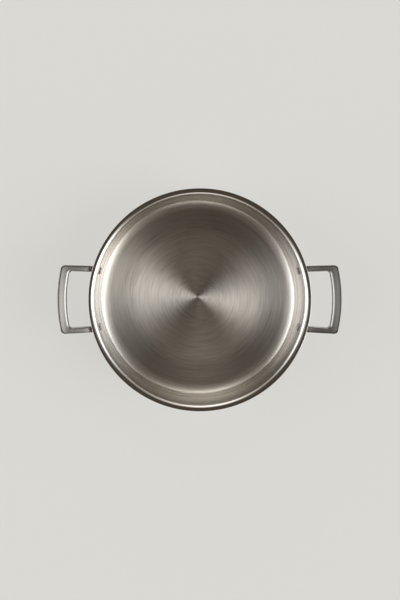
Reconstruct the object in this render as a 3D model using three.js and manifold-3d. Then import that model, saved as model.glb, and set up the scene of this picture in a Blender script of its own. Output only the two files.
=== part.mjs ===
// Sauteuse pan: a pressed three-ply shell with two cast loop handles, held on by four rivets.
// Millimetres, +Z up. The base stands on z = 0 with its centre at the origin, and +X runs to the
// right handle.
import * as THREE from "three";
import { mergeVertices } from "three/addons/utils/BufferGeometryUtils.js";
import Module from "manifold-3d";

// Shell
const insideDiameter = 280;
const insideDepth = 70;
const innerPlyThickness = 0.5;
const corePlyThickness = 1.8;
const outerPlyThickness = 0.5;
const bondGap = 0.05;
const insideCornerRadius = 13;
const lipOuterBend = 3.5;
const lipFlat = 2.1;
const lipEdgeRound = 0.6;

// Handles
const handleReach = 49;
const handleWidth = 92.3;
const legLean = 1.75;
const legWidth = 8.5;
const gripWidth = 12.5;
const gripOuterCorner = 6.5;
const gripInnerCorner = 4.5;
const handleThickness = 9;
const handleEdgeRound = 3.4;
const handleRise = THREE.MathUtils.degToRad(14);

// Feet of the handles
const footBelowRim = 19;
const footWidth = 15;
const footHeight = 20;
const footCorner = 6.8;
const footThickness = 4.5;
const footEdgeRound = 2.4;
const seatGap = 0.3;

// Rivets
const rivetShankDiameter = 6;
const rivetHeadDiameter = 10;
const rivetHeadEdge = 0.5;
const rivetHeadRise = 1.8;
const rivetSocketDepth = 5.5;
const rivetHoleGap = 0.2;

// Fineness of the curves
const shellSteps = 56;
const cornerSteps = 5;
const lipSteps = 4;
const edgeSteps = 2;
const handleCurveSteps = 4;
const footCurveSteps = 2;
const roundSteps = 3;
const rivetSteps = 24;
const rivetDomeSteps = 4;
const roundShareOfWall = 0.46;
const weldTolerance = 1e-4;

// Sizes that follow from the ones above
const insideRadius = insideDiameter / 2;
const wallThickness = outerPlyThickness + corePlyThickness + innerPlyThickness + 2 * bondGap;
const wallOuterRadius = insideRadius + wallThickness;
const rimHeight = insideDepth + wallThickness;
const lipUnderside = rimHeight - wallThickness;
const lipBendCentre = new THREE.Vector2(wallOuterRadius + lipOuterBend, lipUnderside - lipOuterBend);
const rimRadius = lipBendCentre.x + lipFlat;
const rivetHeight = rimHeight - footBelowRim;
const handleRootWidth = handleWidth - 2 * legLean;
const legCentre = (handleRootWidth - legWidth) / 2;
const rivetAngle = Math.asin(legCentre / (wallOuterRadius + footThickness));

const wasm = await Module();
wasm.setup();

const polishedSteel = { color: 0xb4aea6, metalness: 1, roughness: 0.3 };
const brushedSteel = { color: 0xa8a199, metalness: 1, roughness: 0.36 };
const aluminium = { color: 0xc6c8cb, metalness: 1, roughness: 0.42 };
const castSteel = { color: 0xa09a94, metalness: 1, roughness: 0.4 };

function solidFrom(geometry) {
  const bare = geometry.clone();
  bare.deleteAttribute("normal");
  bare.deleteAttribute("uv");
  const merged = mergeVertices(bare, weldTolerance);
  const vertProperties = new Float32Array(merged.attributes.position.array);
  const triVerts = new Uint32Array(merged.index.array);
  return new wasm.Manifold(new wasm.Mesh({ numProp: 3, vertProperties, triVerts }));
}

function geometryFrom(solid) {
  const mesh = solid.getMesh();
  const geometry = new THREE.BufferGeometry();
  geometry.setAttribute("position", new THREE.BufferAttribute(mesh.vertProperties, 3));
  geometry.setIndex(new THREE.BufferAttribute(mesh.triVerts, 1));
  geometry.computeVertexNormals();
  return geometry;
}

function namedMesh(name, solid, finish) {
  const mesh = new THREE.Mesh(geometryFrom(solid), new THREE.MeshStandardMaterial(finish));
  mesh.name = name;
  return mesh;
}

// A profile of (radius, height) points turned about the Z axis.
function turned(points, steps) {
  return new THREE.LatheGeometry(points, steps).rotateX(Math.PI / 2);
}

function arcPoints(centre, radius, from, to, steps) {
  return Array.from({ length: steps + 1 }, (_, i) => {
    const angle = from + ((to - from) * i) / steps;
    return new THREE.Vector2(centre.x + radius * Math.cos(angle), centre.y + radius * Math.sin(angle));
  });
}

// A round can't be larger than most of half the wall it is on.
function limitedRound(radius, ...walls) {
  return Math.min(radius, ...walls.map((wall) => wall * roundShareOfWall));
}

// The section of the shell at a given offset inwards from its outside face, from the middle of the
// floor, round the corner, up the wall and out along the lip as far as the lip's flat.
function facePoints(offset) {
  const floorRadius = insideRadius - insideCornerRadius;
  const cornerCentre = new THREE.Vector2(floorRadius, wallThickness + insideCornerRadius);
  const cornerRadius = insideCornerRadius + wallThickness - offset;
  return [
    new THREE.Vector2(0, offset),
    ...arcPoints(cornerCentre, cornerRadius, -Math.PI / 2, 0, cornerSteps),
    ...arcPoints(lipBendCentre, lipOuterBend + offset, Math.PI, Math.PI / 2, lipSteps),
  ];
}

// The lip ends in a square cut edge across all three plies, with its two corners rounded.
function edgePoint(offset) {
  const round = limitedRound(lipEdgeRound, wallThickness);
  const fromCorner = Math.max(round - offset, round - (wallThickness - offset), 0);
  const setBack = round - Math.sqrt(round ** 2 - fromCorner ** 2);
  return new THREE.Vector2(rimRadius - setBack, lipUnderside + offset);
}

function plyProfile(low, high) {
  const step = (high - low) / edgeSteps;
  const edge = Array.from({ length: edgeSteps + 1 }, (_, i) => edgePoint(low + i * step));
  return [...facePoints(low), ...edge, ...facePoints(high).reverse()];
}

// Moves a geometry that stands along +Z at the origin to a rivet's axis, pointing away from the pan.
function alongRivetAxis(geometry, angle) {
  return geometry.rotateY(Math.PI / 2).rotateZ(angle).translate(0, 0, rivetHeight);
}

// The room that a shank needs, between two distances from the pan's axis.
function rivetBore(from, to, angle) {
  const radius = rivetShankDiameter / 2 + rivetHoleGap;
  const bore = new THREE.CylinderGeometry(radius, radius, to - from, rivetSteps);
  bore.rotateX(Math.PI / 2).translate(0, 0, (from + to) / 2);
  return solidFrom(alongRivetAxis(bore, angle));
}

const rivetPlaces = [
  { name: "rivet_right_back", angle: rivetAngle },
  { name: "rivet_left_back", angle: Math.PI - rivetAngle },
  { name: "rivet_left_front", angle: Math.PI + rivetAngle },
  { name: "rivet_right_front", angle: -rivetAngle },
];

// A ply of the shell, with a clearance hole for each rivet.
function plySolid(low, high) {
  const holeStart = insideRadius - rivetHeadDiameter;
  const holeEnd = wallOuterRadius + rivetHeadDiameter;
  const blank = solidFrom(turned(plyProfile(low, high), shellSteps));
  return rivetPlaces.reduce((ply, { angle }) => ply.subtract(rivetBore(holeStart, holeEnd, angle)), blank);
}

// Everything that the handles have to stay clear of: the shell's outside face, seatGap away from it.
function shellClearance() {
  const topOfClearance = rimHeight + handleReach;
  const points = [
    ...facePoints(-seatGap),
    new THREE.Vector2(rimRadius + seatGap, lipUnderside - seatGap),
    new THREE.Vector2(rimRadius + seatGap, topOfClearance),
    new THREE.Vector2(0, topOfClearance),
  ];
  return solidFrom(turned(points, shellSteps));
}

// Where a round of the given radius touches both a leg's side and the grip's arc.
function cornerRound(arcRadius, halfWidth, radius) {
  const across = halfWidth - radius;
  const along = Math.sqrt((arcRadius - radius) ** 2 - across ** 2);
  return { along, across, radius, angle: Math.atan2(across, along) };
}

// The loop seen square on: x runs out from the pan's axis, y along the grip. Both edges of the grip
// are arcs about the pan's axis, joined to the two legs by round corners. The legs start inside the
// wall, and the shell's clearance trims them.
function loopOutline() {
  const outerRadius = wallOuterRadius + handleReach;
  const innerRadius = outerRadius - gripWidth;
  const rootX = insideRadius - footWidth;
  const outer = cornerRound(outerRadius, handleWidth / 2, gripOuterCorner);
  const inner = cornerRound(innerRadius, handleWidth / 2 - legWidth, gripInnerCorner);
  const quarter = Math.PI / 2;
  const outline = new THREE.Shape();
  outline.moveTo(rootX, -handleRootWidth / 2);
  outline.lineTo(outer.along, -handleWidth / 2);
  outline.absarc(outer.along, -outer.across, outer.radius, -quarter, -outer.angle);
  outline.absarc(0, 0, outerRadius, -outer.angle, outer.angle);
  outline.absarc(outer.along, outer.across, outer.radius, outer.angle, quarter);
  outline.lineTo(rootX, handleRootWidth / 2);
  outline.lineTo(rootX, handleRootWidth / 2 - legWidth);
  outline.absarc(inner.along, inner.across, inner.radius, quarter, inner.angle, true);
  outline.absarc(0, 0, innerRadius, inner.angle, -inner.angle, true);
  outline.absarc(inner.along, -inner.across, inner.radius, -inner.angle, -quarter, true);
  outline.lineTo(rootX, legWidth - handleRootWidth / 2);
  outline.closePath();
  return outline;
}

// An outline given thickness along Z, with rounded edges that stay inside the outline.
function roundedPlate(outline, thickness, edgeRound, curveSegments) {
  const plate = new THREE.ExtrudeGeometry(outline, {
    depth: thickness - 2 * edgeRound,
    bevelSize: edgeRound,
    bevelOffset: -edgeRound,
    bevelThickness: edgeRound,
    bevelSegments: roundSteps,
    curveSegments,
  });
  return plate.translate(0, 0, edgeRound);
}

// The loop slopes up and outwards from the height of its feet.
function loopSolid() {
  const edgeRound = limitedRound(handleEdgeRound, handleThickness, legWidth, gripWidth);
  const loop = roundedPlate(loopOutline(), handleThickness, edgeRound, handleCurveSteps);
  loop.translate(-wallOuterRadius, 0, -handleThickness / 2);
  loop.rotateY(-handleRise);
  loop.translate(wallOuterRadius, 0, rivetHeight);
  return solidFrom(loop);
}

// A rounded pad behind a rivet. It starts inside the wall, and the shell's clearance trims it to seat.
function footSolid(angle) {
  const corner = limitedRound(footCorner, footWidth, footHeight);
  const edgeRound = limitedRound(footEdgeRound, footThickness, corner);
  const acrossX = footHeight / 2 - corner;
  const acrossY = footWidth / 2 - corner;
  const quarter = Math.PI / 2;
  const outline = new THREE.Shape();
  [[1, 1], [-1, 1], [-1, -1], [1, -1]].forEach(([sideX, sideY], i) => {
    outline.absarc(sideX * acrossX, sideY * acrossY, corner, i * quarter, (i + 1) * quarter);
  });
  const behindWall = wallThickness + footThickness;
  const pad = roundedPlate(outline, behindWall + footThickness, edgeRound, footCurveSteps);
  pad.translate(0, 0, wallOuterRadius - behindWall);
  return solidFrom(alongRivetAxis(pad, angle));
}

function handleSolid() {
  const socket = (angle) => rivetBore(insideRadius, wallOuterRadius + rivetSocketDepth, angle);
  return loopSolid()
    .add(footSolid(rivetAngle))
    .add(footSolid(-rivetAngle))
    .subtract(shellClearance())
    .subtract(socket(rivetAngle))
    .subtract(socket(-rivetAngle));
}

// The head lies against the inside of the wall, and the shank ends just short of its socket's floor.
function rivetSolid(angle) {
  const headSeat = insideRadius - seatGap;
  const shankEnd = wallOuterRadius + rivetSocketDepth - seatGap;
  const shankRadius = rivetShankDiameter / 2;
  const headRadius = rivetHeadDiameter / 2;
  const domeRise = rivetHeadRise - rivetHeadEdge;
  const domeBase = headSeat - rivetHeadEdge;
  const dome = Array.from({ length: rivetDomeSteps + 1 }, (_, i) => {
    const turn = (Math.PI / 2) * (1 - i / rivetDomeSteps);
    return new THREE.Vector2(headRadius * Math.cos(turn), domeBase - domeRise * Math.sin(turn));
  });
  dome[0].x = 0;
  const profile = [
    ...dome,
    new THREE.Vector2(headRadius, headSeat),
    new THREE.Vector2(shankRadius, headSeat),
    new THREE.Vector2(shankRadius, shankEnd),
    new THREE.Vector2(0, shankEnd),
  ];
  return solidFrom(alongRivetAxis(turned(profile, rivetSteps), angle));
}

const coreBottom = outerPlyThickness + bondGap;
const innerBottom = coreBottom + corePlyThickness + bondGap;

const pan = new THREE.Group();
pan.add(namedMesh("outer_ply", plySolid(0, outerPlyThickness), polishedSteel));
pan.add(namedMesh("core_ply", plySolid(coreBottom, coreBottom + corePlyThickness), aluminium));
pan.add(namedMesh("inner_ply", plySolid(innerBottom, wallThickness), brushedSteel));

for (const [name, turn] of [["handle_right", 0], ["handle_left", Math.PI]]) {
  const handle = namedMesh(name, handleSolid(), castSteel);
  handle.rotation.z = turn;
  pan.add(handle);
}

for (const { name, angle } of rivetPlaces) {
  pan.add(namedMesh(name, rivetSolid(angle), polishedSteel));
}

export default pan;
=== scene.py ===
import math

import bpy
from mathutils import Matrix, Vector


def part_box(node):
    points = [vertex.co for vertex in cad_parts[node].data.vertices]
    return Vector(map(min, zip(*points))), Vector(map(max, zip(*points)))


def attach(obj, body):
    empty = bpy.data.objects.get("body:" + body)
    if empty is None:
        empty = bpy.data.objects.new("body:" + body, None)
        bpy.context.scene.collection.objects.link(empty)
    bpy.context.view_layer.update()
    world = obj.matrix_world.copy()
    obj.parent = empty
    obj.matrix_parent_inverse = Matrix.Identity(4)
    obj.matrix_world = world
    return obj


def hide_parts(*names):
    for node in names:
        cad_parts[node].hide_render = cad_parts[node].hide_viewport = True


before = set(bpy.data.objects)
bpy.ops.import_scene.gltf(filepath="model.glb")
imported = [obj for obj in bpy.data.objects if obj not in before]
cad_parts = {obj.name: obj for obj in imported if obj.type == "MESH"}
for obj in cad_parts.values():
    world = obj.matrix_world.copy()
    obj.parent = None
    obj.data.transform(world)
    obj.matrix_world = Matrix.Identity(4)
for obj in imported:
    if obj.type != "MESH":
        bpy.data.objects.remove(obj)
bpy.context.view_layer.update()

scene = bpy.context.scene
scene.view_settings.view_transform = "Standard"
mm = 0.001
quarterTurn = math.pi / 2
mergeDistance = 0.001 * mm


# one socket of a node tree: sums on it add Math nodes
class Wire:
    def __init__(self, graph, socket):
        self.graph = graph
        self.socket = socket

    def out(self, name):
        return Wire(self.graph, self.socket.node.outputs[name])

    def sum(self, operation, *values):
        sockets = dict(enumerate(values))
        return self.graph.add("ShaderNodeMath", {"operation": operation}, sockets)

    def __add__(self, other):
        return self.sum("ADD", self, other)

    def __radd__(self, other):
        return self.sum("ADD", other, self)

    def __sub__(self, other):
        return self.sum("SUBTRACT", self, other)

    def __rsub__(self, other):
        return self.sum("SUBTRACT", other, self)

    def __mul__(self, other):
        return self.sum("MULTIPLY", self, other)

    def __rmul__(self, other):
        return self.sum("MULTIPLY", other, self)

    def __truediv__(self, other):
        return self.sum("DIVIDE", self, other)

    def __rtruediv__(self, other):
        return self.sum("DIVIDE", other, self)

    def __pow__(self, other):
        return self.sum("POWER", self, other)

    def __mod__(self, other):
        return self.sum("FLOORED_MODULO", self, other)

    def whole(self):
        return self.sum("FLOOR", self)

    def atLeast(self, low):
        return self.sum("MAXIMUM", self, low)

    def atMost(self, high):
        return self.sum("MINIMUM", self, high)

    # a noise from 0 to 1, as a swing of this width about 0
    def swing(self, width):
        return (self - 0.5) * width


class Graph:
    def __init__(self, tree):
        self.tree = tree

    # a node of this type: its settings first, then its sockets by name or number
    def add(self, kind, settings, sockets):
        node = self.tree.nodes.new(kind)
        for name, value in settings.items():
            setattr(node, name, value)
        for key, value in sockets.items():
            inlet = node.inputs[key] if isinstance(key, int) else self.inlet(node, key)
            if isinstance(value, Wire):
                self.tree.links.new(value.socket, inlet)
            else:
                inlet.default_value = value
        outlets = [o for o in node.outputs if o.enabled]
        return Wire(self, outlets[0]) if outlets else node

    def inlet(self, node, name):
        return next(s for s in node.inputs if s.name == name and s.enabled)

    # 0 to 1 as the value goes from low to high, with soft ends
    def ease(self, value, low, high):
        sockets = {"Value": value, "From Min": low, "From Max": high}
        return self.add("ShaderNodeMapRange", {"interpolation_type": "SMOOTHSTEP"}, sockets)

    def mixColour(self, share, first, second):
        a, b = ((*c, 1) if isinstance(c, tuple) else c for c in (first, second))
        return self.add("ShaderNodeMix", {"data_type": "RGBA"}, {"Factor": share, "A": a, "B": b})

    def noise(self, coordinate, scale, detail):
        sockets = {"Vector": coordinate, "Scale": scale, "Detail": detail}
        return self.add("ShaderNodeTexNoise", {"noise_dimensions": "3D"}, sockets)

    # noise along one length only, so that it draws lines across it
    def lines(self, length, scale, detail):
        sockets = {"W": length, "Scale": scale, "Detail": detail}
        return self.add("ShaderNodeTexNoise", {"noise_dimensions": "1D"}, sockets)

    # where a point of the surface lies, in the pan's own frame
    def place(self):
        return self.add("ShaderNodeTexCoord", {}, {}).out("Object")

    def apart(self, vector):
        parts = self.add("ShaderNodeSeparateXYZ", {}, {"Vector": vector})
        return parts.out("X"), parts.out("Y"), parts.out("Z")

    def bump(self, height, strength, depth):
        sockets = {"Strength": strength, "Distance": depth, "Height": height}
        return self.add("ShaderNodeBump", {}, sockets)


def newMaterial(name):
    material = bpy.data.materials.new(name)
    material.use_nodes = True
    material.node_tree.nodes.clear()
    return material, Graph(material.node_tree)


# a metal: what changes over its surface, then the settings that are the same all over
def finishMetal(graph, colour, roughness, bump, settings):
    sockets = {"Base Color": colour, "Metallic": 1, "Roughness": roughness, "Normal": bump}
    shader = graph.add("ShaderNodeBsdfPrincipled", {}, sockets | settings)
    graph.add("ShaderNodeOutputMaterial", {}, {"Surface": shader})


# brushed lines that run round the pan stretch its highlights outwards and inwards
def turnedGrain(look):
    return {"Anisotropic": look["anisotropy"], "Anisotropic Rotation": look["grainTurn"]}


# the shell's section, in metres

shell = {
    "insideDiameter": 280 * mm,
    "innerPly": 0.5 * mm,
    "corePly": 1.8 * mm,
    "outerPly": 0.5 * mm,
    "bondGap": 0.05 * mm,
    "insideCorner": 13 * mm,
    "lipOuterBend": 3.5 * mm,
    "lipEdgeRound": 0.3 * mm,
    "lipEdgeMargin": 0.1 * mm,
    "floorRings": 14,
    "wallRings": 14,
    "cornerSteps": 20,
    "lipSteps": 18,
    "edgeSteps": 9,
    "turnSteps": 256,
    "sharpAngle": math.radians(50),
}

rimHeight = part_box("inner_ply")[1].z
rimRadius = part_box("core_ply")[1].x
wallThickness = shell["innerPly"] + shell["corePly"] + shell["outerPly"] + 2 * shell["bondGap"]
insideRadius = shell["insideDiameter"] / 2
floorRadius = insideRadius - shell["insideCorner"]
wallOuterRadius = insideRadius + wallThickness
lipUnderside = rimHeight - wallThickness
lipCentre = (wallOuterRadius + shell["lipOuterBend"], lipUnderside - shell["lipOuterBend"])


def arcPoints(centre, radius, start, end, steps):
    turns = [start + (end - start) * i / steps for i in range(steps + 1)]
    return [(centre[0] + radius * math.cos(t), centre[1] + radius * math.sin(t)) for t in turns]


def linePoints(start, end, steps):
    return [tuple(a + (b - a) * i / steps for a, b in zip(start, end)) for i in range(steps)]


# one face of a ply, at an offset in from the shell's outside: floor, corner, wall, lip
def facePoints(offset):
    cornerCentre = (floorRadius, wallThickness + shell["insideCorner"])
    corner = arcPoints(
        cornerCentre, cornerCentre[1] - offset, -quarterTurn, 0, shell["cornerSteps"]
    )
    lip = arcPoints(
        lipCentre, shell["lipOuterBend"] + offset, math.pi, quarterTurn, shell["lipSteps"]
    )
    flatEnd = rimRadius - shell["lipEdgeRound"] - shell["lipEdgeMargin"]
    floor = linePoints((0, offset), corner[0], shell["floorRings"])
    wall = linePoints(corner[-1], lip[0], shell["wallRings"])
    return floor + corner[:-1] + wall + lip + [(flatEnd, lipUnderside + offset)]


# the lip ends in a square cut edge across all three plies, with its two corners rounded
def edgePoints(low, high):
    corner = shell["lipEdgeRound"]
    points = []
    for i in range(shell["edgeSteps"] + 1):
        offset = low + (high - low) * i / shell["edgeSteps"]
        into = max(corner - offset, corner - (wallThickness - offset), 0)
        setBack = corner - math.sqrt(corner**2 - into**2)
        points.append((rimRadius - setBack, lipUnderside + offset))
    return points


def plyProfile(low, high):
    return facePoints(low) + edgePoints(low, high) + facePoints(high)[::-1]


# Geometry Nodes: a profile turned about the Z axis


def newTree(name, inputs):
    tree = bpy.data.node_groups.new(name, "GeometryNodeTree")
    tree.interface.new_socket("Geometry", in_out="INPUT", socket_type="NodeSocketGeometry")
    for label, kind in inputs:
        tree.interface.new_socket(label, in_out="INPUT", socket_type=kind)
    tree.interface.new_socket("Geometry", in_out="OUTPUT", socket_type="NodeSocketGeometry")
    return tree, Graph(tree)


def turnedTree():
    tree, graph = newTree(
        "turned profile", [("Steps", "NodeSocketInt"), ("Material", "NodeSocketMaterial")]
    )
    given = graph.add("NodeGroupInput", {}, {})
    profile, steps, material = given, given.out("Steps"), given.out("Material")
    count = graph.add("GeometryNodeAttributeDomainSize", {}, {"Geometry": profile})
    sheet = graph.add(
        "GeometryNodeMeshGrid", {}, {"Vertices X": steps + 1, "Vertices Y": count}
    )
    index = graph.add("GeometryNodeInputIndex", {}, {})
    position = graph.add("GeometryNodeInputPosition", {}, {})
    point = graph.add(
        "GeometryNodeSampleIndex",
        {"data_type": "FLOAT_VECTOR", "domain": "POINT"},
        {"Geometry": profile, "Value": position, "Index": index % count},
    )
    apart = graph.add("ShaderNodeSeparateXYZ", {}, {"Vector": point})
    turn = (index / count).whole() * (2 * math.pi) / steps
    place = graph.add(
        "ShaderNodeCombineXYZ",
        {},
        {
            "X": apart.out("X") * turn.sum("COSINE", turn),
            "Y": apart.out("X") * turn.sum("SINE", turn),
            "Z": apart.out("Z"),
        },
    )
    turned = graph.add("GeometryNodeSetPosition", {}, {"Geometry": sheet, "Position": place})
    closed = graph.add(
        "GeometryNodeMergeByDistance", {}, {"Geometry": turned, "Distance": mergeDistance}
    )
    smooth = graph.add("GeometryNodeSetShadeSmooth", {}, {"Geometry": closed})
    real = graph.add("GeometryNodeRealizeInstances", {}, {"Geometry": smooth})
    painted = graph.add(
        "GeometryNodeSetMaterial", {}, {"Geometry": real, "Material": material}
    )
    graph.add("NodeGroupOutput", {}, {"Geometry": painted})
    return tree


def setInput(modifier, label, value):
    items = modifier.node_group.interface.items_tree
    identifier = next(i.identifier for i in items if i.name == label and i.in_out == "INPUT")
    modifier[identifier] = value


# a closed mesh that is inside out has a volume below zero, and is turned round
def outward(mesh):
    mesh.calc_loop_triangles()
    volume = 0
    for triangle in mesh.loop_triangles:
        a, b, c = (mesh.vertices[v].co for v in triangle.vertices)
        volume += a.dot(b.cross(c))
    if volume < 0:
        mesh.flip_normals()


# the tree's result on this profile, as a plain mesh at the origin
def grown(name, profile, tree, inputs, sharpAngle):
    mesh = bpy.data.meshes.new(name)
    points = [(r, 0, z) for r, z in profile]
    mesh.from_pydata(points, [(i, i + 1) for i in range(len(points) - 1)], [])
    blank = bpy.data.objects.new(name + " profile", mesh)
    scene.collection.objects.link(blank)
    modifier = blank.modifiers.new("grow", "NODES")
    modifier.node_group = tree
    for label, value in inputs.items():
        setInput(modifier, label, value)
    bpy.context.view_layer.update()
    shape = blank.evaluated_get(bpy.context.evaluated_depsgraph_get())
    result = bpy.data.meshes.new_from_object(shape)
    bpy.data.objects.remove(blank)
    bpy.data.meshes.remove(mesh)
    result.name = name
    outward(result)
    result.set_sharp_from_angle(angle=sharpAngle)
    piece = bpy.data.objects.new(name, result)
    scene.collection.objects.link(piece)
    return piece


# the piece stands for these nodes; the finish given as slot is not used
def stand(piece, slot, *nodes):
    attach(piece, "root")
    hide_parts(*nodes)
    piece.data.calc_loop_triangles()
    print("made", piece.name, len(piece.data.loop_triangles), "triangles")


profileTree = turnedTree()

# the cooking surface

cookingFinish = {
    "colour": (0.85, 0.815, 0.76),
    "darkColour": (0.69, 0.657, 0.606),
    "wallColour": (0.885, 0.86, 0.822),
    "wallDarkColour": (0.74, 0.714, 0.673),
    "lipColour": (0.76, 0.745, 0.72),
    "floorRoughness": 0.4,
    "wallRoughness": 0.16,
    "lipRoughness": 0.09,
    "wallFade": (floorRadius + 5 * mm, floorRadius + 12.5 * mm),  # over the corner
    "lipFade": (lipCentre[1] - 2 * mm, lipCentre[1] + 1 * mm),  # up the wall
    "anisotropy": 0.9,
    "grainTurn": 0.25,
    "ringsPerMetre": 400,
    "fineRingsPerMetre": 2200,
    "arcCircle": 2.2,  # a wider circle through the noise breaks a ring into more arcs
    "eyeRadius": 1 * mm,
    "groovesPerMetre": 620,
    "grooveLimits": (0.38, 0.48),
    "grooveClustersPerMetre": 45,
    "clusterLimits": (0.4, 0.6),
    "grooveTone": 0.86,
    "centreTone": 0.88,
    "centreFade": (20 * mm, 62 * mm),
    "edgeTone": 0.68,
    "edgeFade": (80 * mm, 110 * mm),
    "edgeEnd": (floorRadius - 4 * mm, floorRadius + 2 * mm),
    "wallLinesPerMetre": 150,
    "wallLineLimits": (0.35, 0.6),
    "smudgeScale": 28,
    "ringShare": 0.7,
    "fineRingShare": 0.15,
    "smudgeShare": 0.15,
    "shareLimits": (0.3, 0.7),
    "ringRoughness": 0.06,
    "smudgeRoughness": 0.03,
    "wallCalm": 0.7,  # how far the roughness is evened out on the wall
    "ringRelief": 0.4,
    "fineRingRelief": 0.6,
    "ringDepth": 0.02 * mm,
    "bumpStrength": 0.25,
}


def cookingSteel():
    look = cookingFinish
    material, graph = newMaterial("brushed cooking steel")
    place = graph.place()
    x, y, z = graph.apart(place)
    radius = (x * x + y * y) ** 0.5
    along = radius + z
    spin = look["arcCircle"] / radius.atLeast(look["eyeRadius"])

    # noise drawn out round the pan into broken rings
    def arcs(perMetre, detail):
        spot = {"X": x * spin, "Y": y * spin, "Z": along * perMetre}
        return graph.noise(graph.add("ShaderNodeCombineXYZ", {}, spot), scale=1, detail=detail)

    rings = arcs(look["ringsPerMetre"], detail=3)
    fineRings = graph.lines(along, look["fineRingsPerMetre"], detail=2)
    smudge = graph.noise(place, look["smudgeScale"], detail=3)
    wall = graph.ease(radius, *look["wallFade"])
    lip = graph.ease(z, *look["lipFade"])

    base = look["floorRoughness"] + wall * (look["wallRoughness"] - look["floorRoughness"])
    base = base + lip * (look["lipRoughness"] - look["wallRoughness"])
    wander = rings.swing(look["ringRoughness"]) + smudge.swing(look["smudgeRoughness"])
    roughness = base + wander * (1 - wall * look["wallCalm"])

    # the floor is darker at its centre, towards its edge and in its grooves
    clusters = graph.lines(along, look["grooveClustersPerMetre"], detail=1)
    grooves = 1 - graph.ease(arcs(look["groovesPerMetre"], detail=2), *look["grooveLimits"])
    grooves = grooves * graph.ease(clusters, *look["clusterLimits"])
    middle = graph.ease(radius, *look["centreFade"])
    edge = graph.ease(radius, *look["edgeFade"]) - graph.ease(radius, *look["edgeEnd"])
    tone = look["centreTone"] + middle * (1 - look["centreTone"]) - edge * (1 - look["edgeTone"])
    tone = tone * (1 - grooves * (1 - look["grooveTone"]))

    streaks = rings * look["ringShare"] + smudge * look["smudgeShare"]
    streaks = streaks + fineRings * look["fineRingShare"]
    share = graph.ease(streaks, *look["shareLimits"])
    colour = graph.mixColour(share, look["darkColour"], look["colour"])
    colour = graph.add(
        "ShaderNodeVectorMath", {"operation": "SCALE"}, {"Vector": colour, "Scale": tone}
    )
    wallLines = graph.lines(z, look["wallLinesPerMetre"], detail=3)
    wallShare = graph.ease(wallLines, *look["wallLineLimits"])
    wallColour = graph.mixColour(wallShare, look["wallDarkColour"], look["wallColour"])
    colour = graph.mixColour(wall, colour, wallColour)
    colour = graph.mixColour(lip, colour, look["lipColour"])

    height = rings * look["ringRelief"] + fineRings * look["fineRingRelief"]
    bump = graph.bump(height, look["bumpStrength"], look["ringDepth"])
    finishMetal(graph, colour, roughness, bump, turnedGrain(look))
    return material


coreLow = shell["outerPly"] + shell["bondGap"]
innerLow = coreLow + shell["corePly"] + shell["bondGap"]


def turnedPly(name, low, high, material):
    inputs = {"Steps": shell["turnSteps"], "Material": material}
    return grown(name, plyProfile(low, high), profileTree, inputs, shell["sharpAngle"])


cookingSurface = turnedPly("cooking_surface", innerLow, wallThickness, cookingSteel())
stand(cookingSurface, "cooking_steel", "inner_ply")

# the core, seen only as a line round the lip

coreFinish = {
    "colour": (0.72, 0.73, 0.74),
    "wornColour": (0.56, 0.565, 0.57),
    "roughness": 0.42,
    "grainScale": 700,
    "grainRoughness": 0.16,
    "linesPerMetre": 6000,
    "lineDepth": 0.01 * mm,
    "bumpStrength": 0.3,
}


def coreAluminium():
    look = coreFinish
    material, graph = newMaterial("trimmed aluminium edge")
    place = graph.place()
    height = graph.apart(place)[2]
    grain = graph.noise(place, look["grainScale"], detail=3)
    trim = graph.lines(height, look["linesPerMetre"], detail=2)
    colour = graph.mixColour(grain, look["wornColour"], look["colour"])
    roughness = look["roughness"] + grain.swing(look["grainRoughness"])
    bump = graph.bump(trim, look["bumpStrength"], look["lineDepth"])
    finishMetal(graph, colour, roughness, bump, {})
    return material


core = turnedPly("core_edge", coreLow, coreLow + shell["corePly"], coreAluminium())
stand(core, "core_aluminium", "core_ply")

# the outside of the shell

outsideFinish = {
    "colour": (0.62, 0.604, 0.576),
    "darkColour": (0.5, 0.486, 0.463),
    "roughness": 0.16,
    "baseRoughness": 0.36,
    "baseFade": (0.5 * mm, 8 * mm),
    "anisotropy": 0.6,
    "grainTurn": 0.25,
    "linesPerMetre": 1900,
    "bandsPerMetre": 260,
    "smudgeScale": 22,
    "lineShare": 0.5,
    "bandShare": 0.2,
    "smudgeShare": 0.3,
    "shareLimits": (0.35, 0.65),
    "lineRoughness": 0.06,
    "smudgeRoughness": 0.07,
    "lineDepth": 0.012 * mm,
    "bumpStrength": 0.25,
}


def polishedOutside():
    look = outsideFinish
    material, graph = newMaterial("polished outside steel")
    place = graph.place()
    x, y, z = graph.apart(place)
    along = (x * x + y * y) ** 0.5 + z
    lines = graph.lines(along, look["linesPerMetre"], detail=3)
    bands = graph.lines(along, look["bandsPerMetre"], detail=4)
    smudge = graph.noise(place, look["smudgeScale"], detail=3)
    base = 1 - graph.ease(z, *look["baseFade"])
    roughness = look["roughness"] + base * (look["baseRoughness"] - look["roughness"])
    roughness = roughness + lines.swing(look["lineRoughness"]) + smudge.swing(look["smudgeRoughness"])
    streaks = lines * look["lineShare"] + bands * look["bandShare"] + smudge * look["smudgeShare"]
    share = graph.ease(streaks, *look["shareLimits"])
    colour = graph.mixColour(share, look["darkColour"], look["colour"])
    bump = graph.bump(lines, look["bumpStrength"], look["lineDepth"])
    finishMetal(graph, colour, roughness, bump, turnedGrain(look))
    return material


outside = turnedPly("outside_shell", 0, shell["outerPly"], polishedOutside())
stand(outside, "outer_steel", "outer_ply")

# the cast loop handles

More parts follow.
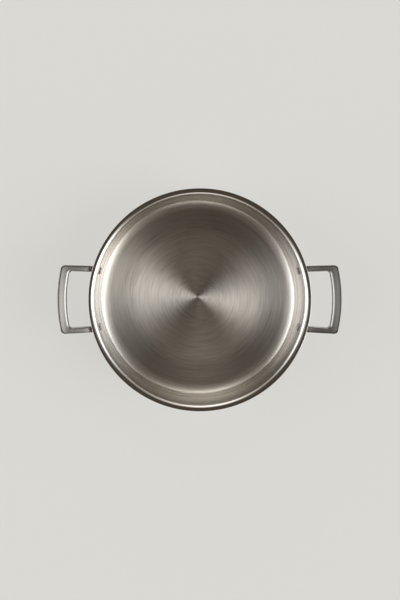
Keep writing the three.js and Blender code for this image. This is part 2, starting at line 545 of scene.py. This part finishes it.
handle = {
    "reach": 49.6 * mm,
    "width": 92.3 * mm,
    "legLean": 1.75 * mm,
    "legWidth": 8.5 * mm,
    "gripWidth": 13.1 * mm,
    "gripOuterCorner": 6.5 * mm,
    "gripInnerCorner": 4.5 * mm,
    "thickness": 9 * mm,
    "gripRounds": (1.0 * mm, 4.0 * mm, 4.0 * mm, 7.0 * mm),  # top outer, top inner, then below
    "legRounds": (1.0 * mm, 1.6 * mm, 3.2 * mm, 4.0 * mm),
    "fallWidth": 2.8 * mm,
    "fallAngle": math.radians(15),
    "bevelStart": 0.55,
    # angles round the outer edge over which the painted shade of the outer side fades in
    "sideShadeAngles": (math.radians(12), math.radians(40)),
    "rise": math.radians(14),
    "rootDrop": 0.4 * mm,
    "rootLength": 16 * mm,
    "curlStart": 36 * mm,
    "curlLength": 8 * mm,
    "curlAngle": math.radians(5),
    "footBelowRim": 19 * mm,
    "footWidth": 15 * mm,
    "footHeight": 20 * mm,
    "footCorner": 6.8 * mm,
    "footThickness": 4.5 * mm,
    "footRound": 2.4 * mm,
    "footBlend": 6 * mm,
    "seatGap": 0.3 * mm,
    "legSteps": 14,
    "cornerSteps": 18,
    "gripSteps": 56,
    "roundSteps": 9,
    "flatShares": (0.05, 0.13, 0.24, 0.5, 0.76, 0.87, 0.95),  # close to the rounds, so flats stay flat
    "blendSteps": 9,
    "sharpAngle": math.radians(48),
}

rivetHeight = rimHeight - handle["footBelowRim"]
legCentre = handle["width"] / 2 - handle["legLean"] - handle["legWidth"] / 2
footFront = wallOuterRadius + handle["footThickness"]
rivetAngle = math.asin(legCentre / footFront)


def clamped(share):
    return min(max(share, 0), 1)


# a rounded oblong: points round each corner and some on each flat
def oblong(halfWide, halfTall, rounds):
    signs = [(1, 1), (-1, 1), (-1, -1), (1, -1)]
    corners = []
    for i, ((sideA, sideB), radius) in enumerate(zip(signs, rounds)):
        centre = (sideA * (halfWide - radius), sideB * (halfTall - radius))
        corners.append(
            arcPoints(centre, radius, i * quarterTurn, (i + 1) * quarterTurn, handle["roundSteps"])
        )
    points = []
    for i, corner in enumerate(corners):
        points += corner
        end, start = corner[-1], corners[(i + 1) % 4][0]
        for share in handle["flatShares"]:
            points.append(tuple(a + (b - a) * share for a, b in zip(end, start)))
    return points


# where a round of this radius touches both a leg's side and the grip's arc
def cornerRound(arcRadius, halfWidth, radius):
    across = halfWidth - radius
    along = math.sqrt((arcRadius - radius) ** 2 - across**2)
    return {"centre": Vector((along, -across)), "radius": radius, "turn": math.atan2(across, along)}


# the nearest point in front of start where a ray meets a circle from the inside
def rayToCircle(start, way, centre, radius):
    gap = start - centre
    half = gap.dot(way)
    return start + way * (-half + math.sqrt(half**2 - gap.length_squared + radius**2))


# pairs of points on the inner and outer edge of half the loop, from the front leg's root to the
# middle of the grip, in the loop's own plane
def edgePairs():
    outerRadius = wallOuterRadius + handle["reach"]
    innerRadius = outerRadius - handle["gripWidth"]
    halfWidth = handle["width"] / 2
    outer = cornerRound(outerRadius, halfWidth, handle["gripOuterCorner"])
    inner = cornerRound(innerRadius, halfWidth - handle["legWidth"], handle["gripInnerCorner"])
    root = insideRadius - handle["footWidth"]
    legStart = footFront * math.cos(rivetAngle) + handle["footBlend"]

    def legEdge(x, far, half):
        return Vector((x, -half + handle["legLean"] * (far - x) / (far - root)))

    pairs = []
    legEnd = inner["centre"].x
    for i in range(handle["legSteps"]):
        x = legStart + (legEnd - legStart) * i / handle["legSteps"]
        pairs.append(
            (
                legEdge(x, legEnd, halfWidth - handle["legWidth"]),
                legEdge(x, outer["centre"].x, halfWidth),
            )
        )
    for i in range(handle["cornerSteps"]):
        turn = -quarterTurn + (quarterTurn - inner["turn"]) * i / handle["cornerSteps"]
        way = Vector((math.cos(turn), math.sin(turn)))
        near = inner["centre"] + way * inner["radius"]
        reach = (halfWidth - abs(inner["centre"].y)) / -way.y
        far = inner["centre"] + way * reach
        if far.x > outer["centre"].x:
            far = rayToCircle(inner["centre"], way, outer["centre"], outer["radius"])
            side = far - outer["centre"]
            if math.atan2(side.y, side.x) > -outer["turn"]:
                far = rayToCircle(inner["centre"], way, Vector((0, 0)), outerRadius)
        else:
            far = legEdge(far.x, outer["centre"].x, halfWidth)
        pairs.append((near, far))
    half = handle["gripSteps"] // 2
    for i in range(half + 1):
        turn = -inner["turn"] * (1 - i / half)
        way = Vector((math.cos(turn), math.sin(turn)))
        pairs.append((way * innerRadius, way * outerRadius))
    return pairs


# how far the loop leaves its plane: it dips a little at its roots and curls up under the grip
def loopLift(out):
    root = clamped(1 - (out - handle["footThickness"]) / handle["rootLength"])
    beyond = max(out - handle["curlStart"], 0)
    bend = min(beyond, handle["curlLength"])
    curl = bend**2 / (2 * handle["curlLength"]) + beyond - bend
    return curl * math.tan(handle["curlAngle"]) - handle["rootDrop"] * root**3


# from the loop's plane, which slopes up and outwards, to the pan
def onSlope(x, y, up):
    out = x - wallOuterRadius
    up = up + loopLift(out)
    rise = handle["rise"]
    return Vector(
        (
            wallOuterRadius + out * math.cos(rise) - up * math.sin(rise),
            y,
            rivetHeight + out * math.sin(rise) + up * math.cos(rise),
        )
    )


# the top is eased off towards the outer edge all round, and on the legs towards the inner edge too
def topFall(a, b, half, onGrip):
    width = handle["fallWidth"]
    into = max(a - (half - width), 0) + max(-a - (half - width), 0) * (1 - onGrip)
    onTop = max(b / (handle["thickness"] / 2), 0)
    return onTop * into**2 * math.tan(handle["fallAngle"]) / (2 * width)


def loopSections():
    halves = edgePairs()
    mirrored = [(Vector((a.x, -a.y)), Vector((b.x, -b.y))) for a, b in halves[-2::-1]]
    legEnd = handle["legSteps"] + handle["cornerSteps"]
    legStart = handle["legSteps"] * handle["bevelStart"]
    count = len(halves) + len(mirrored)
    sections = []
    for i, (near, far) in enumerate(halves + mirrored):
        onGrip = clamped((min(i, count - 1 - i) - legStart) / (legEnd - legStart))
        onGrip = onGrip * onGrip * (3 - 2 * onGrip)  # with soft ends
        rounds = [a + (b - a) * onGrip for a, b in zip(handle["legRounds"], handle["gripRounds"])]
        middle = (near + far) / 2
        across = (far - near).normalized()
        half = (far - near).length / 2
        points = []
        for a, b in oblong(half, handle["thickness"] / 2, rounds):
            spot = middle + across * a
            points.append(onSlope(spot.x, spot.y, b - topFall(a, b, half, onGrip)))
        sections.append(points)
    return sections


# the rings of a foot, from its seat on the wall out to the leg that it flares into
def footSections(side, leg):
    spoke = side * rivetAngle
    out = Vector((math.cos(spoke), math.sin(spoke), 0))
    across = Vector((-math.sin(spoke), math.cos(spoke), 0)) * side
    seat = wallOuterRadius + handle["seatGap"]
    steps = handle["blendSteps"]

    def ring(inset, distance):
        corner = handle["footCorner"] - inset
        outline = oblong(
            handle["footWidth"] / 2 - inset, handle["footHeight"] / 2 - inset, [corner] * 4
        )
        points = []
        for a, b in outline:
            reach = math.sqrt(seat**2 - a**2) if distance is None else distance
            points.append(out * reach + across * a + Vector((0, 0, rivetHeight + b)))
        return points

    rings = [ring(0, None)]
    for i in range(steps + 1):
        turn = quarterTurn * i / steps
        inset = handle["footRound"] * (1 - math.cos(turn))
        rings.append(ring(inset, footFront - handle["footRound"] * (1 - math.sin(turn))))
    front = rings[-1]
    legWay = Vector((math.cos(handle["rise"]), 0, math.sin(handle["rise"])))
    for i in range(1, steps):
        turn = quarterTurn * i / steps
        blend = []
        for start, end in zip(front, leg):
            onward = legWay * (end - start).dot(legWay)
            sideways = (end - start) - onward
            blend.append(start + onward * (1 - math.cos(turn)) + sideways * math.sin(turn))
        rings.append(blend)
    return rings


def loftMesh(name, rings):
    count = len(rings[0])
    points = [p for ring in rings for p in ring]
    faces = []
    for row in range(len(rings) - 1):
        for i in range(count):
            j = (i + 1) % count
            faces.append(
                (row * count + i, row * count + j, (row + 1) * count + j, (row + 1) * count + i)
            )
    faces.append(tuple(range(count))[::-1])
    faces.append(tuple(range(len(points) - count, len(points))))
    mesh = bpy.data.meshes.new(name)
    mesh.from_pydata(points, [], faces)
    mesh.validate()
    return mesh


castFinish = {
    "colour": (0.43, 0.422, 0.41),
    "darkColour": (0.36, 0.352, 0.342),
    # painted shade: the loop's outer side is coloured darker to stand for its dark reflection
    "sideShadeColour": (0.3, 0.294, 0.286),
    "roughness": 0.22,
    "grainScale": 900,
    "grainRoughness": 0.1,
    "smudgeScale": 45,
    "smudgeRoughness": 0.12,
    "grainDepth": 0.03 * mm,
    "bumpStrength": 0.12,
}


def castSteel():
    look = castFinish
    material, graph = newMaterial("satin cast steel")
    place = graph.place()
    grain = graph.noise(place, look["grainScale"], detail=4)
    smudge = graph.noise(place, look["smudgeScale"], detail=3)
    # the side attribute lays painted shade on the loop's outer side
    side = graph.add("ShaderNodeAttribute", {"attribute_name": "side"}, {}).out("Fac")
    colour = graph.mixColour(smudge, look["darkColour"], look["colour"])
    colour = graph.mixColour(side, colour, look["sideShadeColour"])
    wander = grain.swing(look["grainRoughness"])
    roughness = look["roughness"] + wander + smudge.swing(look["smudgeRoughness"])
    bump = graph.bump(grain, look["bumpStrength"], look["grainDepth"])
    finishMetal(graph, colour, roughness, bump, {})
    return material


# how far each point of a section lies round on the loop's outer side, from 0 on top to 1, which is how
# much painted shade darkens it
def sideShadeShares():
    arc = handle["roundSteps"] + 1
    run = arc + len(handle["flatShares"])
    low, high = handle["sideShadeAngles"]
    shares = [0.0] * (3 * run) + [1.0] * run
    for i in range(arc):
        fall = quarterTurn * (1 - i / handle["roundSteps"])
        shares[i] = clamped((fall - low) / (high - low))
    return shares


def loopHandle(name, turn, material):
    loop = loopSections()
    rings = footSections(-1, loop[0]) + loop + footSections(1, loop[-1])[::-1]
    mesh = loftMesh(name, rings)
    # the side attribute carries the painted shade of the loop's outer side
    side = mesh.attributes.new("side", "FLOAT", "POINT")
    side.data.foreach_set("value", sideShadeShares() * len(rings))
    mesh.transform(Matrix.Rotation(turn, 4, "Z"))
    outward(mesh)
    mesh.shade_smooth()
    mesh.set_sharp_from_angle(angle=handle["sharpAngle"])
    mesh.materials.append(material)
    piece = bpy.data.objects.new(name, mesh)
    scene.collection.objects.link(piece)
    return piece


handleSteel = castSteel()
stand(loopHandle("loop_handle_right", 0, handleSteel), "cast_handle", "handle_right")
stand(loopHandle("loop_handle_left", math.pi, handleSteel), "cast_handle", "handle_left")

# the rivets

rivet = {
    "count": 4,
    "shankDiameter": 6 * mm,
    "headDiameter": 10 * mm,
    "headEdge": 0.5 * mm,
    "headRise": 1.8 * mm,
    "headFlatness": 0.55,
    "socketDepth": 5.5 * mm,
    "domeSteps": 12,
    "turnSteps": 48,
    "sharpAngle": math.radians(40),
}

rivetFinish = {
    "colour": (0.56, 0.545, 0.52),
    "darkColour": (0.46, 0.446, 0.424),
    "roughness": 0.12,
    "smudgeScale": 160,
    "smudgeRoughness": 0.14,
    "grainScale": 1500,
    "grainDepth": 0.02 * mm,
    "bumpStrength": 0.1,
}


def rivetSteel():
    look = rivetFinish
    material, graph = newMaterial("polished rivet steel")
    place = graph.place()
    smudge = graph.noise(place, look["smudgeScale"], detail=3)
    grain = graph.noise(place, look["grainScale"], detail=3)
    colour = graph.mixColour(smudge, look["darkColour"], look["colour"])
    roughness = look["roughness"] + smudge.swing(look["smudgeRoughness"])
    bump = graph.bump(grain, look["bumpStrength"], look["grainDepth"])
    finishMetal(graph, colour, roughness, bump, {})
    return material


# distance from the rivet's axis against distance from the pan's axis
def rivetProfile():
    seat = insideRadius - handle["seatGap"]
    shankEnd = wallOuterRadius + rivet["socketDepth"] - handle["seatGap"]
    headRadius, shankRadius = rivet["headDiameter"] / 2, rivet["shankDiameter"] / 2
    domeRise = rivet["headRise"] - rivet["headEdge"]
    profile = []
    for i in range(rivet["domeSteps"] + 1):
        turn = quarterTurn * i / rivet["domeSteps"]
        rise = domeRise * max(math.cos(turn), 0) ** rivet["headFlatness"]
        profile.append((headRadius * math.sin(turn), seat - rivet["headEdge"] - rise))
    return profile + [
        (headRadius, seat),
        (shankRadius, seat),
        (shankRadius, shankEnd),
        (0, shankEnd),
    ]


# four turned rivets, two to a handle, lying along their spokes of the pan
def rivetTree():
    tree, graph = newTree(
        "rivet places",
        [
            ("Steps", "NodeSocketInt"),
            ("Spread", "NodeSocketFloat"),
            ("Height", "NodeSocketFloat"),
            ("Material", "NodeSocketMaterial"),
        ],
    )
    given = graph.add("NodeGroupInput", {}, {})
    steps, material = given.out("Steps"), given.out("Material")
    one = graph.add(
        "GeometryNodeGroup",
        {"node_tree": profileTree},
        {"Geometry": given, "Steps": steps, "Material": material},
    )
    place = graph.add("ShaderNodeCombineXYZ", {}, {"Z": given.out("Height")})
    spots = graph.add("GeometryNodePoints", {}, {"Count": rivet["count"], "Position": place})
    index = graph.add("GeometryNodeInputIndex", {}, {})
    side = (index / 2).whole() * math.pi
    turn = side + (1 - index % 2 * 2) * given.out("Spread")  # one leg, then the other
    lean = graph.add("ShaderNodeCombineXYZ", {}, {"Y": quarterTurn, "Z": turn})
    aim = graph.add("FunctionNodeEulerToRotation", {}, {"Euler": lean})
    four = graph.add(
        "GeometryNodeInstanceOnPoints", {}, {"Points": spots, "Instance": one, "Rotation": aim}
    )
    real = graph.add("GeometryNodeRealizeInstances", {}, {"Geometry": four})
    painted = graph.add(
        "GeometryNodeSetMaterial", {}, {"Geometry": real, "Material": material}
    )
    graph.add("NodeGroupOutput", {}, {"Geometry": painted})
    return tree


rivetInputs = {
    "Steps": rivet["turnSteps"],
    "Spread": rivetAngle,
    "Height": rivetHeight,
    "Material": rivetSteel(),
}
rivets = grown("rivets", rivetProfile(), rivetTree(), rivetInputs, rivet["sharpAngle"])
stand(
    rivets,
    "rivet_steel",
    "rivet_right_back",
    "rivet_left_back",
    "rivet_left_front",
    "rivet_right_front",
)

# floor, light and camera

studio = {
    "floorSide": 40,
    "floorDrop": 0.1 * mm,
    "floorColour": (0.69, 0.68, 0.645),
    "floorRoughness": 0.9,
    "floorGloss": 0.1,
    "backgroundColour": (0.816, 0.809, 0.774),
    "backgroundShare": 0.65,
    "topColour": (0.072, 0.058, 0.043),
    "lowColour": (0.56, 0.54, 0.516),
    "lowAngles": (64, 90),  # degrees from straight up
    "leastLevel": 1e-6,  # keeps the sums finite straight overhead
}

# the panels of the light tent: which way each stands from the pan, how narrow it is, and between
# which angles from straight up it fades in, with the ways and angles in degrees; the first three are
# dim, for the tops of the handles
panels = [
    {"azimuth": -4, "narrowness": 16, "angles": (11, 18), "colour": (0.42, 0.41, 0.39)},
    {"azimuth": 184, "narrowness": 16, "angles": (10, 17), "colour": (0.42, 0.411, 0.397)},
    {"azimuth": -9, "narrowness": 45, "angles": (20.5, 27), "colour": (1.0, 0.975, 0.935)},
    {"azimuth": -20, "narrowness": 22, "angles": (20, 41), "colour": (3.6, 3.49, 3.285)},
    {"azimuth": 1, "narrowness": 11, "angles": (39, 62), "colour": (3.0, 3.1, 3.24)},
    {"azimuth": 192, "narrowness": 15, "angles": (19, 39), "colour": (1.66, 1.627, 1.585)},
    {"azimuth": 178, "narrowness": 8, "angles": (49, 68), "colour": (2.75, 2.84, 2.98)},
    {"azimuth": 90, "narrowness": 8.5, "angles": (27, 58), "colour": (1.18, 1.12, 1.02)},
    {"azimuth": 97, "narrowness": 30, "angles": (48, 70), "colour": (1.6, 1.545, 1.463)},
    {"azimuth": 270, "narrowness": 14, "angles": (50, 73), "colour": (0.93, 0.885, 0.81)},
]


def studioFloor():
    side = studio["floorSide"] / 2
    mesh = bpy.data.meshes.new("floor")
    level = -studio["floorDrop"]
    corners = [(-side, -side, level), (side, -side, level), (side, side, level), (-side, side, level)]
    mesh.from_pydata(corners, [], [(0, 1, 2, 3)])
    material, graph = newMaterial("pale floor")
    path = graph.add("ShaderNodeLightPath", {}, {})
    seen = path.out("Is Camera Ray") + path.out("Is Glossy Ray") + path.out("Is Transmission Ray")
    matt = graph.add(
        "ShaderNodeBsdfPrincipled",
        {},
        {
            "Base Color": (*studio["floorColour"], 1),
            "Roughness": studio["floorRoughness"],
            "Specular IOR Level": studio["floorGloss"],
        },
    )
    pale = graph.add("ShaderNodeEmission", {}, {"Color": (*studio["backgroundColour"], 1)})
    mixed = graph.add(
        "ShaderNodeMixShader", {}, {0: seen.atMost(1) * studio["backgroundShare"], 1: matt, 2: pale}
    )
    graph.add("ShaderNodeOutputMaterial", {}, {"Surface": mixed})
    mesh.materials.append(material)
    floor = bpy.data.objects.new("floor", mesh)
    scene.collection.objects.link(floor)


# a light tent: dark overhead, paler low down, with its panels on that
def studioWorld():
    world = bpy.data.worlds.new("light tent")
    scene.world = world
    world.use_nodes = True
    world.node_tree.nodes.clear()
    graph = Graph(world.node_tree)
    way = graph.add("ShaderNodeTexCoord", {}, {}).out("Generated")
    x, y, z = graph.apart(way)
    level = (x * x + y * y).atLeast(studio["leastLevel"]) ** 0.5

    # 0 to 1 between two angles from straight up
    def under(angles):
        high, low = (math.cos(math.radians(a)) for a in angles)
        return 1 - graph.ease(z, low, high)

    sky = graph.mixColour(under(studio["lowAngles"]), studio["topColour"], studio["lowColour"])
    for panel in panels:
        turn = math.radians(panel["azimuth"])
        facing = (x * math.cos(turn) + y * math.sin(turn)) / level
        share = facing.atLeast(0) ** panel["narrowness"] * under(panel["angles"])
        sky = graph.mixColour(share, sky, panel["colour"])
    light = graph.add("ShaderNodeBackground", {}, {"Color": sky, "Strength": 1})
    graph.add("ShaderNodeOutputWorld", {}, {"Surface": light})


# straight down from a little left of the pan's middle and behind it, with the pan kept in mid frame
view = {
    "height": 0.95,
    "offset": (-0.041, 0.058),
    "middle": (0.0003, -0.0003),
    "frameHeight": 0.798,
    "sensor": 36,
}


# the picture is taller than it is wide, so the sensor's size lies along its height
def studioCamera():
    data = bpy.data.cameras.new("camera")
    camera = bpy.data.objects.new("camera", data)
    scene.collection.objects.link(camera)
    camera.location = (*view["offset"], rimHeight + view["height"])
    data.sensor_width = view["sensor"]
    data.lens = view["sensor"] * view["height"] / view["frameHeight"]
    data.shift_x = (view["middle"][0] - view["offset"][0]) / view["frameHeight"]
    data.shift_y = (view["middle"][1] - view["offset"][1]) / view["frameHeight"]
    scene.camera = camera


studioFloor()
studioWorld()
studioCamera()
print("studio ready")
